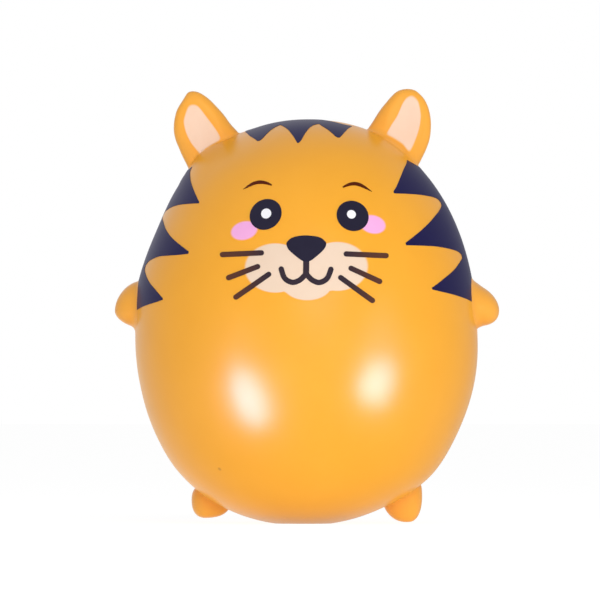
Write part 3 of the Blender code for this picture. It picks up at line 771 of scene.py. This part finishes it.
def ear_thickness(up):
    """Half the ear's thickness on its axis at a height."""
    return EAR_HALF_THICKNESS * math.sqrt(max(1 - max(up / EAR_HEIGHT, 0) ** EAR_THINNING_POWER, 0))


def ear_dish(side, across, up):
    """How deep the hollow of the ear's front is."""
    (middle_across, middle_up), (half_across, half_up) = EAR_DISH[side]
    away = ((across - middle_across) / half_across) ** 2 + ((up - middle_up) / half_up) ** 2
    return EAR_DISH_DEPTH * max(1 - away, 0) ** EAR_DISH_POWER


def ear_front(side, across, up, lift):
    """The point on the front of an ear, from (across, up) in millimetres in its plane."""
    root, outward, upward = ear_axes(side)
    share = min(abs(across) / ear_half_width(side, across, up), 1.0)
    depth = ear_thickness(up) * (1 - share ** EAR_SQUARENESS) ** (1 / EAR_SQUARENESS)
    depth -= ear_dish(side, across, up)
    point = root + (outward * across + upward * up) * MM + Vector((0, -depth * MM, 0))
    turn = -math.acos(math.copysign(share ** (EAR_SQUARENESS / 2), across))
    return ear_flare(side, point, turn) + Vector((0, -lift, 0))


def ear_flare(side, point, turn):
    """Flares a point of an ear's wall that lies at a turn round the ear's axis."""
    at_ends, at_front = EAR_FILLET[side]
    away = ear_axes(side)[1] * math.cos(turn) + Vector((0, math.sin(turn), 0))
    return flare(point, away, (at_ends + (at_front - at_ends) * math.sin(turn) ** 2) * MM)


def make_ear(side, foam, cream):
    """An ear lobe with a round rim and a shallow dish, and its cream patch."""
    root, outward, upward = ear_axes(side)
    bm = bmesh.new()
    bmesh.ops.create_uvsphere(bm, u_segments=EAR_SEGMENTS, v_segments=EAR_RINGS, radius=1.0)
    for vert in bm.verts:
        fall = math.acos(max(min(vert.co.z, 1), -1))
        turn = math.atan2(vert.co.y, vert.co.x)
        up = -EAR_BURIED + (EAR_HEIGHT + EAR_BURIED) * (1 + vert.co.z) / 2
        closing = 1.0
        if fall > EAR_BURIED_CLOSES:
            closing = min(math.sin(fall) / math.sin(EAR_BURIED_CLOSES), 1.0)
        wide = math.copysign(abs(math.cos(turn)) ** (2 / EAR_SQUARENESS), math.cos(turn))
        deep = math.copysign(abs(math.sin(turn)) ** (2 / EAR_SQUARENESS), math.sin(turn))
        across = ear_half_width(side, wide, up) * wide * closing
        depth = ear_thickness(up) * deep * closing
        if depth < 0:
            depth += ear_dish(side, across, up) * closing
        point = root + (outward * across + upward * up) * MM + Vector((0, depth * MM, 0))
        vert.co = ear_flare(side, point, turn)
    ear = finish_mesh(f"ear_lobe_{side}", bm, foam)
    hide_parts(f"ear_{side}")
    patch = disc_print(
        f"ear_patch_{side}", smooth_loop(EAR_PATCH[side], CURVE_STEPS), EAR_PATCH_MIDDLE[side], cream,
        lambda across, up, lift: ear_front(side, across, up, lift), layer=0, rings=14,
    )
    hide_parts(f"ear_inner_{side}")
    for piece in (ear, patch):
        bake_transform(piece)


def make_nub(name, middle, along, reach, widths, depth, squareness, fillet, top, foam):
    """A round nub that stands out of the skin along its axis. widths are (towards top, away from it)."""
    middle = Vector(middle) * MM
    across = Vector((0, 1, 0)).cross(along)
    if across.dot(top) < 0:
        across.negate()
    bm = bmesh.new()
    bmesh.ops.create_uvsphere(bm, u_segments=NUB_SEGMENTS, v_segments=NUB_RINGS, radius=1.0)
    for vert in bm.verts:
        x, y, z = vert.co
        girth = math.hypot(x, y)
        around, extra = fillet
        swell = (abs(z) ** squareness + girth ** squareness) ** (-1 / squareness)
        out = z * swell * (reach if z > 0 else NUB_BURIED)
        aside = x * swell * (widths[0] if x > 0 else widths[1])
        point = middle + (along * out + across * aside + Vector((0, y * swell * depth, 0))) * MM
        away = across * (x / girth) + Vector((0, y / girth, 0)) if girth > 1e-6 else Vector()
        vert.co = flare(point, away, (around + extra * max(x, 0) ** 2) * MM)
    piece = finish_mesh(name, bm, foam)
    return piece


def bend_nub(piece, middle):
    """Bakes a nub's place into its mesh; the skin point under its middle is worked out but not used."""
    middle = Vector(middle) * MM
    normal = egg_normal(middle)
    root = middle - normal * off_body(middle)
    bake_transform(piece)


def make_arm(side, foam):
    droop = ARM_DROOP[side]
    along = Vector((SIDES[side] * math.cos(droop), 0, -math.sin(droop)))
    arm = make_nub(
        f"arm_nub_{side}", ARM_MIDDLE[side], along, ARM_REACH[side], ARM_WIDTHS[side], ARM_DEPTH[side],
        ARM_SQUARENESS[side], ARM_FILLET[side], Vector((0, 0, 1)), foam,
    )
    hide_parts(f"arm_{side}")
    bend_nub(arm, ARM_MIDDLE[side])


def make_foot(side, foam):
    splay = FOOT_SPLAY[side]
    along = Vector((SIDES[side] * math.sin(splay), 0, -math.cos(splay)))
    foot = make_nub(
        f"foot_nub_{side}", FOOT_MIDDLE[side], along, FOOT_REACH[side], FOOT_WIDTHS[side], FOOT_DEPTH[side],
        FOOT_SQUARENESS[side], FOOT_FILLET, Vector((-SIDES[side], 0, 0)), foam,
    )
    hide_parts(f"foot_{side}")
    bend_nub(foot, FOOT_MIDDLE[side])


def thicken(bm):
    """Gives a flat sheet a back, one unit below it."""
    back = bmesh.ops.extrude_face_region(bm, geom=bm.faces[:], use_keep_orig=True)
    moved = [item for item in back["geom"] if isinstance(item, bmesh.types.BMVert)]
    bmesh.ops.translate(bm, verts=moved, vec=(0, 0, -1))


def keep_flat_places(bm):
    """Writes each vertex's place on the flat sheet to the UV map that soft edges read."""
    flat = bm.loops.layers.uv.new("print")
    for face in bm.faces:
        for corner in face.loops:
            corner[flat].uv = corner.vert.co.xy


def print_lift(vert, layer):
    """A printed vertex's lift off the skin: its face stands proud, its back lies under the skin."""
    return LAYER_LIFT[layer] if vert.co.z > -0.5 else -PRINT_BACK


def disc_print(name, loop, middle, ink, place, layer, rings=8):
    """A print inside a loop, from a disc of rings and spokes laid on the skin by place."""
    loop = spaced_loop(loop, DISC_STEPS)
    bm = bmesh.new()
    spoke = [bm.verts.new((ring / rings, 0, 0)) for ring in range(rings + 1)]
    edges = [bm.edges.new(pair) for pair in zip(spoke, spoke[1:])]
    bmesh.ops.spin(
        bm, geom=spoke + edges, cent=(0, 0, 0), axis=(0, 0, 1),
        angle=math.tau, steps=DISC_STEPS, use_merge=True,
    )
    bmesh.ops.remove_doubles(bm, verts=bm.verts, dist=DISC_MERGE)
    thicken(bm)
    keep_flat_places(bm)
    for vert in bm.verts:
        out = vert.co.xy.length
        step = round(math.atan2(vert.co.y, vert.co.x) / math.tau * DISC_STEPS) % DISC_STEPS
        spot = [m + (edge - m) * out for m, edge in zip(middle, loop[step])]
        vert.co = place(*spot, print_lift(vert, layer))
    return finish_mesh(name, bm, ink, PRINT_SHARP_DEGREES)


def stroke_stations(line, half_width, taper=None):
    """[(middle, across, half-width)] down a stroke: round-ended, or as wide as taper gives from 0 to 1."""
    lengths = [0.0]
    for start, end in zip(line, line[1:]):
        lengths.append(lengths[-1] + math.dist(start, end))
    total = lengths[-1]
    stations = []

    def station(place, half):
        index = 0
        while index < len(line) - 2 and lengths[index + 1] < place:
            index += 1
        start, end = line[index], line[index + 1]
        gap = lengths[index + 1] - lengths[index]
        along = [(b - a) / gap for a, b in zip(start, end)]
        spot = [a + d * (place - lengths[index]) for a, d in zip(start, along)]
        stations.append((spot, (-along[1], along[0]), half))

    if taper:
        for step in range(TAPER_STEPS + 1):
            station(total * step / TAPER_STEPS, half_width * taper(step / TAPER_STEPS))
        return stations
    overhang = half_width * CAP_OVERHANG
    for step in range(CAP_STEPS):
        lean = math.pi / 2 * step / CAP_STEPS
        station(half_width * (1 - math.cos(lean)) - overhang, half_width * math.sin(lean))
    count = max(FEWEST_STATIONS, round(total / STATION_PITCH))
    low, high = overhang, total - overhang
    for step in range(count + 1):
        station(low + (high - low) * step / count, half_width)
    for step in range(CAP_STEPS - 1, -1, -1):
        lean = math.pi / 2 * step / CAP_STEPS
        station(total + overhang - half_width * (1 - math.cos(lean)), half_width * math.sin(lean))
    return stations


def stroke_print(name, strokes, ink, layer):
    """A print of strokes on the face; each is a flat grid laid along its stations."""
    whole = bmesh.new()
    for order, stations in enumerate(strokes):
        bm = bmesh.new()
        last = len(stations) - 1
        bmesh.ops.create_grid(bm, x_segments=last, y_segments=STROKE_COLUMNS, size=1.0)
        thicken(bm)
        for vert in bm.verts:
            spot, across, half = stations[round((vert.co.x + 1) / 2 * last)]
            x, z = (s + a * half * vert.co.y for s, a in zip(spot, across))
            vert.co = on_front(x, z, print_lift(vert, layer) - order * STROKE_DROP)
        bmesh.ops.remove_doubles(bm, verts=bm.verts, dist=STROKE_MERGE)
        bmesh.ops.recalc_face_normals(bm, faces=bm.faces)
        part = bpy.data.meshes.new(name)
        bm.to_mesh(part)
        bm.free()
        whole.from_mesh(part)
        bpy.data.meshes.remove(part)
    return finish_mesh(name, whole, ink, PRINT_SHARP_DEGREES)


def edge_rows(runs):
    """Points down a saw edge: each run is smooth, and the tips between runs stay sharp."""
    made = []
    for run in runs:
        made += smooth_line(run, EDGE_STEPS)
    return made


def band_print(name, rows, columns, ink, place):
    """A print from a flat grid laid on the skin, in rows of (start, end, level, sag between them)."""
    bm = bmesh.new()
    last = len(rows) - 1
    bmesh.ops.create_grid(bm, x_segments=columns, y_segments=last, size=1.0)
    thicken(bm)
    for vert in bm.verts:
        start, end, level, sag = rows[round((vert.co.y + 1) / 2 * last)]
        spot = start + (end - start) * (vert.co.x + 1) / 2
        vert.co = place(spot, level - sag * (1 - vert.co.x ** 2), print_lift(vert, 0))
    return finish_mesh(name, bm, ink, PRINT_SHARP_DEGREES)


def declare_print(piece, node):
    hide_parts(node)
    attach(piece, "head")


def brow_taper(share):
    """A brow's width at a share of the way from its outer end to its inner one."""
    return math.sin(BROW_WAVE * share) ** BROW_POWER + BROW_LEAST


def make_face(inks):
    outline = joined_lobes(MUZZLE_LOBES, MUZZLE_MIDDLE, MUZZLE_STEPS)
    muzzle = disc_print(
        "muzzle_print", outline, MUZZLE_MIDDLE, inks["muzzle"], on_front, layer=0, rings=16,
    )
    declare_print(muzzle, "muzzle_patch")
    outline = smooth_loop(NOSE, NOSE_STEPS)
    nose = disc_print("nose_print", outline, NOSE_MIDDLE, inks["eye"], on_front, layer=1)
    declare_print(nose, "nose")
    arcs = [smooth_line(MOUTH_ARC[side], CURVE_STEPS) for side in SIDES]
    strokes = [stroke_stations(arc, MOUTH_HALF_WIDTH) for arc in arcs]
    strokes.append(stroke_stations(MOUTH_STEM, MOUTH_STEM_HALF_WIDTH))
    mouth = stroke_print("mouth_print", strokes, inks["line"], layer=1)
    declare_print(mouth, "mouth")
    for side in SIDES:
        middle, half_sizes, tilt = CHEEK[side]
        outline = ellipse(middle, half_sizes, tilt, DISC_STEPS)
        cheek = disc_print(
            f"cheek_print_{side}", outline, middle, inks["pink"], on_front, layer=0, rings=12,
        )
        declare_print(cheek, f"cheek_{side}")
        middle, half_sizes, tilt = EYE[side]
        outline = ellipse(middle, half_sizes, tilt, DISC_STEPS)
        eye = disc_print(f"eye_print_{side}", outline, middle, inks["eye"], on_front, layer=1)
        declare_print(eye, f"eye_{side}")
        middle, radius = GLINT[side]
        outline = ellipse(middle, (radius, radius * GLINT_FLATNESS), tilt, DISC_STEPS)
        glint = disc_print(
            f"eye_glint_print_{side}", outline, middle, inks["white"], on_front, layer=2, rings=5,
        )
        declare_print(glint, f"eye_glint_{side}")
        stroke = stroke_stations(smooth_line(BROW[side], CURVE_STEPS), BROW_HALF_WIDTH, brow_taper)
        brow = stroke_print(f"brow_print_{side}", [stroke], inks["brow"], layer=0)
        declare_print(brow, f"brow_{side}")
    for name, ends in WHISKER.items():
        stroke = stroke_stations(list(ends), WHISKER_HALF_WIDTH)
        whisker = stroke_print(f"whisker_print_{name}", [stroke], inks["line"], layer=1)
        declare_print(whisker, f"whisker_{name}")


def make_stripes(navy):
    for side, sign in SIDES.items():
        turn = FLANK_TURN[side]
        top, tip = FLANK_EDGE[side][0][0][1], FLANK_EDGE[side][0][-1][1]
        rows = []
        for degrees, z in edge_rows(FLANK_EDGE[side]):
            sag = FLANK_SAG[side] * max((z - tip) / (top - tip), 0)
            rows.append((sign * degrees, sign * (turn - degrees), z, sag))
        stripes = band_print(f"stripes_print_{side}", rows, FLANK_COLUMNS, navy, on_flank)
        declare_print(stripes, f"stripes_{side}")
    rows = []
    for x, forward in edge_rows(CROWN_EDGE):
        rows.append((forward, min(value_at(CROWN_BACK, x), forward - CROWN_LEAST), x, 0))
    stripes = band_print(
        "stripes_print_top", rows, CROWN_COLUMNS, navy, lambda forward, x, lift: on_crown(x, forward, lift),
    )
    declare_print(stripes, "stripes_top")


def make_floor():
    # White paper sweep over a light table: camera rays see it near white with the toy's soft shadow on
    # it, and its glow lights the toy from below
    made, tree, shader, place = start_material("white_paper_sweep")
    grain = add_node(
        tree, "ShaderNodeTexNoise", None, {"Scale": 1 / PAPER_GRAIN, "Detail": 2.0}, {"Vector": place},
    )
    paper = add_node(
        tree, "ShaderNodeMix", {"data_type": "RGBA"}, {"A": linear("#9a9a9a"), "B": linear("#9e9e9e")},
        {"Factor": grain.outputs["Fac"]},
    )
    sheet = add_node(tree, "ShaderNodeBsdfDiffuse", None, None, {"Color": paper.outputs["Result"]})
    away = add_node(tree, "ShaderNodeVectorMath", {"operation": "LENGTH"}, None, {0: place})
    glow = add_node(
        tree, "ShaderNodeMapRange", {"interpolation_type": "SMOOTHSTEP"},
        {"From Min": 0.0, "From Max": FOOT_GLOW_REACH, "To Min": FOOT_GLOW, "To Max": TABLE_GLOW},
        {"Value": away.outputs["Value"]},
    )
    table = add_node(tree, "ShaderNodeEmission", None, None, {"Strength": glow.outputs["Result"]})
    lit = add_node(
        tree, "ShaderNodeAddShader", None, None, {0: sheet.outputs["BSDF"], 1: table.outputs["Emission"]},
    )
    shade = add_node(tree, "ShaderNodeBsdfDiffuse", None, {"Color": linear("#8c8c8c")})
    white = add_node(tree, "ShaderNodeEmission", None, {"Strength": FLOOR_WHITE})
    seen = add_node(
        tree, "ShaderNodeAddShader", None, None, {0: shade.outputs["BSDF"], 1: white.outputs["Emission"]},
    )
    rays = add_node(tree, "ShaderNodeLightPath")
    mixed = add_node(
        tree, "ShaderNodeMixShader", None, None,
        {0: white_rays(tree, rays), 1: lit.outputs["Shader"], 2: seen.outputs["Shader"]},
    )
    tree.nodes.remove(shader)
    tree.links.new(mixed.outputs["Shader"], tree.nodes["Material Output"].inputs["Surface"])
    bm = bmesh.new()
    bmesh.ops.create_grid(bm, x_segments=1, y_segments=1, size=FLOOR_HALF_SIZE)
    floor = finish_mesh("floor", bm, made)
    # The two sheen lamps stand lower than the floor: their light and reflections pass through it
    floor.visible_shadow = False
    floor.visible_glossy = False


def white_rays(tree, rays):
    """1 for the rays that see the floor as near white: camera, glossy and transmission."""
    first = add_node(
        tree, "ShaderNodeMath", {"operation": "MAXIMUM"}, None,
        {0: rays.outputs["Is Camera Ray"], 1: rays.outputs["Is Glossy Ray"]},
    )
    return add_node(
        tree, "ShaderNodeMath", {"operation": "MAXIMUM"}, None,
        {0: first.outputs["Value"], 1: rays.outputs["Is Transmission Ray"]},
    ).outputs["Value"]


def make_world():
    # Camera rays see plain white. In gloss the room is brighter on the toy's right and overhead, and
    # falls to grey on its left and towards the ground.
    world = bpy.data.worlds.new("studio")
    world.use_nodes = True
    bpy.context.scene.world = world
    tree = world.node_tree
    rays = add_node(tree, "ShaderNodeLightPath")
    way = add_node(tree, "ShaderNodeTexCoord").outputs["Generated"]
    across = add_node(tree, "ShaderNodeSeparateXYZ", None, None, {"Vector": way})
    room, ground, ceiling = [
        add_node(
            tree, "ShaderNodeMapRange", {"interpolation_type": "SMOOTHSTEP"}, shades,
            {"Value": across.outputs[axis]},
        )
        for axis, shades in (("X", ROOM_ACROSS), ("Z", ROOM_GROUND), ("Z", ROOM_CEILING))
    ]
    upright = add_node(
        tree, "ShaderNodeMath", {"operation": "MULTIPLY"}, None,
        {0: ground.outputs["Result"], 1: ceiling.outputs["Result"]},
    )
    shaded = add_node(
        tree, "ShaderNodeMath", {"operation": "MULTIPLY"}, None,
        {0: room.outputs["Result"], 1: upright.outputs["Value"]},
    )
    gloss = add_node(
        tree, "ShaderNodeMix", None, {"A": ROOM_LIGHT},
        {"Factor": rays.outputs["Is Glossy Ray"], "B": shaded.outputs["Value"]},
    )
    seen = add_node(
        tree, "ShaderNodeMath", {"operation": "MAXIMUM"}, None,
        {0: rays.outputs["Is Camera Ray"], 1: rays.outputs["Is Transmission Ray"]},
    )
    strength = add_node(
        tree, "ShaderNodeMix", None, {"B": 1.0},
        {"Factor": seen.outputs["Value"], "A": gloss.outputs["Result"]},
    )
    background = tree.nodes["Background"]
    background.inputs["Color"].default_value = (1, 1, 1, 1)
    tree.links.new(strength.outputs["Result"], background.inputs["Strength"])


def add_softbox(name, degrees, elevation, size, power, distance=0.9, slant=0.0):
    """A soft lamp aimed at the body's widest ring, at degrees round from the front and an elevation."""
    turn, lift = math.radians(degrees), math.radians(elevation)
    way = Vector((math.sin(turn) * math.cos(lift), -math.cos(turn) * math.cos(lift), math.sin(lift)))
    lamp = bpy.data.lights.new(name, "AREA")
    lamp.shape = "ELLIPSE"
    lamp.size, lamp.size_y = size
    lamp.energy = power
    holder = bpy.data.objects.new(name, lamp)
    holder.location = Vector((0, 0, EQUATOR)) + way * distance
    turned = (-way).to_track_quat("-Z", "Y").to_matrix() @ Matrix.Rotation(math.radians(slant), 3, "Z")
    holder.rotation_euler = turned.to_euler()
    holder.visible_camera = False
    bpy.context.scene.collection.objects.link(holder)
    return holder


def make_studio():
    """Softboxes that light the whole toy, and two that only lay their gloss on the body's skin."""
    make_world()
    fill = [
        add_softbox("softbox_left", degrees=52, elevation=2, size=(0.30, 0.40), power=0.95),
        add_softbox("front_fill", degrees=8, elevation=20, size=(0.9, 0.9), power=10.9, distance=1.5),
    ]
    for lamp in fill:
        lamp.visible_glossy = False
    sheen = [
        add_softbox("sheen_right", degrees=-42, elevation=-27, size=(0.34, 0.54), power=18.0, slant=14),
        add_softbox("sheen_left", degrees=50, elevation=-18, size=(0.35, 0.32), power=10.9, slant=24),
    ]
    for lamp in sheen:
        lamp.data.color = SHEEN_COLOUR
        lamp.visible_diffuse = False
    return sheen


def shine_only_on(lamps, piece):
    """Keeps the lamps' light to one piece."""
    body = bpy.data.collections.new("body_skin")
    body.objects.link(piece)
    for lamp in lamps:
        lamp.light_linking.receiver_collection = body


def make_camera():
    """A level camera in front of the toy, in the photograph's frame."""
    lens = bpy.data.cameras.new("camera")
    lens.sensor_width = 36.0
    lens.lens = lens.sensor_width * CAMERA_DISTANCE / FRAME_WIDTH
    holder = bpy.data.objects.new("camera", lens)
    holder.location = FRAME_MIDDLE + Vector((0, -CAMERA_DISTANCE, 0))
    holder.rotation_euler = (math.pi / 2, 0, 0)
    bpy.context.scene.collection.objects.link(holder)
    bpy.context.scene.camera = holder


def main():
    bpy.context.scene.view_settings.view_transform = "Standard"
    make_camera()
    sheen = make_studio()
    make_floor()
    foam = foam_material("lacquered_pu_foam", "#f7aa2b", "#fbb033")
    # The ears and nubs are painted paler: painted sheen for the gloss the sheen lamps give only the body
    lobe_foam_painted_sheen = foam_material("pu_foam_painted_sheen", "#f7aa3c", "#fbb044")
    inks = {
        "navy": ink_material("navy_pad_ink", "#1a1846", "#201e4a", 0.40),
        "eye": ink_material("eye_pad_ink", "#222030", "#282637", 0.38),
        "line": line_ink_material(),
        "brow": ink_material("brow_pad_ink", "#4e1b02", "#5c2405", 0.42),
        "muzzle": ink_material("cream_pad_ink", "#ecd1b8", "#efd6c0", 0.45, soft_edge=0.05),
        "ear": ink_material("ear_cream_pad_ink", "#f5d1b6", "#f8d8c0", 0.45, soft_edge=0.12),
        "pink": ink_material("pink_pad_ink", "#f9b0e5", "#fcb7ea", 0.45, soft_edge=0.2),
        "white": ink_material("white_pad_ink", "#f4f4fa", "#fcfcff", 0.40),
    }
    shine_only_on(sheen, make_skin(foam))
    for side in SIDES:
        make_ear(side, lobe_foam_painted_sheen, inks["ear"])
        make_arm(side, lobe_foam_painted_sheen)
        make_foot(side, lobe_foam_painted_sheen)
    make_face(inks)
    make_stripes(inks["navy"])


main()
